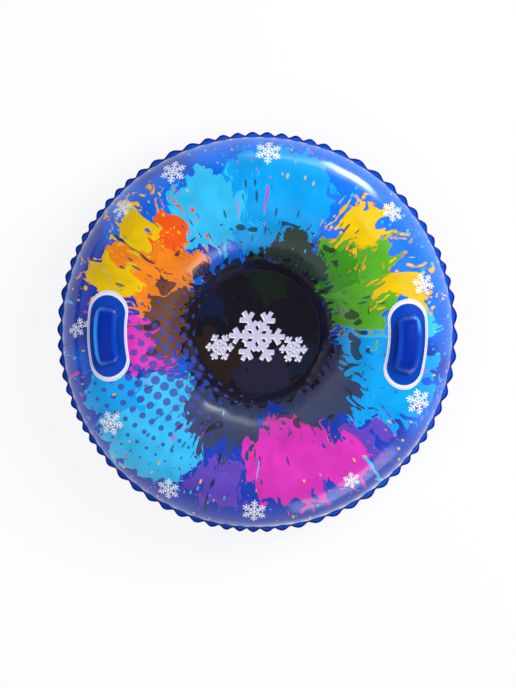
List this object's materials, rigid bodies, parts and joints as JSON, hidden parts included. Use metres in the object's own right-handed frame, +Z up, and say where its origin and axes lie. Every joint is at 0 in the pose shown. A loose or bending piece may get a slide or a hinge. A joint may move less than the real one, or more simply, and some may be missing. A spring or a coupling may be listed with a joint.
{
  "type": "snow tube",
  "caption": "Round inflatable snow tube: blown-up ring with a scalloped welded edge, closed seat panel, grab handles and an air valve underneath.",
  "frame": {"origin": "on the ground, under the middle of the blown-up tube", "axes": "+Z up along the tube's axis, +X from the left handle to the right handle, +Y away from the valve"},
  "size_m": [0.8702, 0.8702, 0.251],
  "materials": {
    "printed_sheet": "printed, clear-coated soft PVC sheet",
    "blue_sheet": "glossy soft PVC sheet, dyed blue",
    "welded_edge": "two layers of PVC sheet welded into one",
    "seat_print": "printed, clear-coated soft PVC sheet",
    "white_patch": "satin white PVC sheet",
    "handle_vinyl": "moulded soft PVC, glossy",
    "valve_vinyl": "moulded soft vinyl, milky",
    "flap_film": "thin soft vinyl film"
  },
  "bodies": {
    "tube": {"top_sheet": "printed_sheet", "bottom_sheet": "blue_sheet", "outer_seam_flange": "welded_edge", "inner_weld_ring": "welded_edge", "centre_panel": "seat_print", "centre_floor": "blue_sheet", "handle_patch_left": "white_patch", "handle_patch_right": "white_patch", "handle_left": "handle_vinyl", "handle_right": "handle_vinyl", "valve_flange": "valve_vinyl"},
    "stem": {"valve_stem": "valve_vinyl"},
    "plug": {"valve_plug": "valve_vinyl"},
    "flap": {"valve_flap": "flap_film"}
  },
  "joints": [
    {"name": "stem_push", "type": "slide", "parent": "tube", "child": "stem", "axis": [0, -0.6968, 0.7173], "range_m": [0, 0.009]},
    {"name": "plug_open", "type": "hinge", "parent": "stem", "child": "plug", "pos_m": [0, -0.17103, 0.04382], "axis": [1, 0, 0], "range_deg": [0, 130]},
    {"name": "flap_open", "type": "hinge", "parent": "stem", "child": "flap", "pos_m": [0, -0.19151, 0.05773], "axis": [-1, 0, 0], "range_deg": [0, 60]}
  ]
}
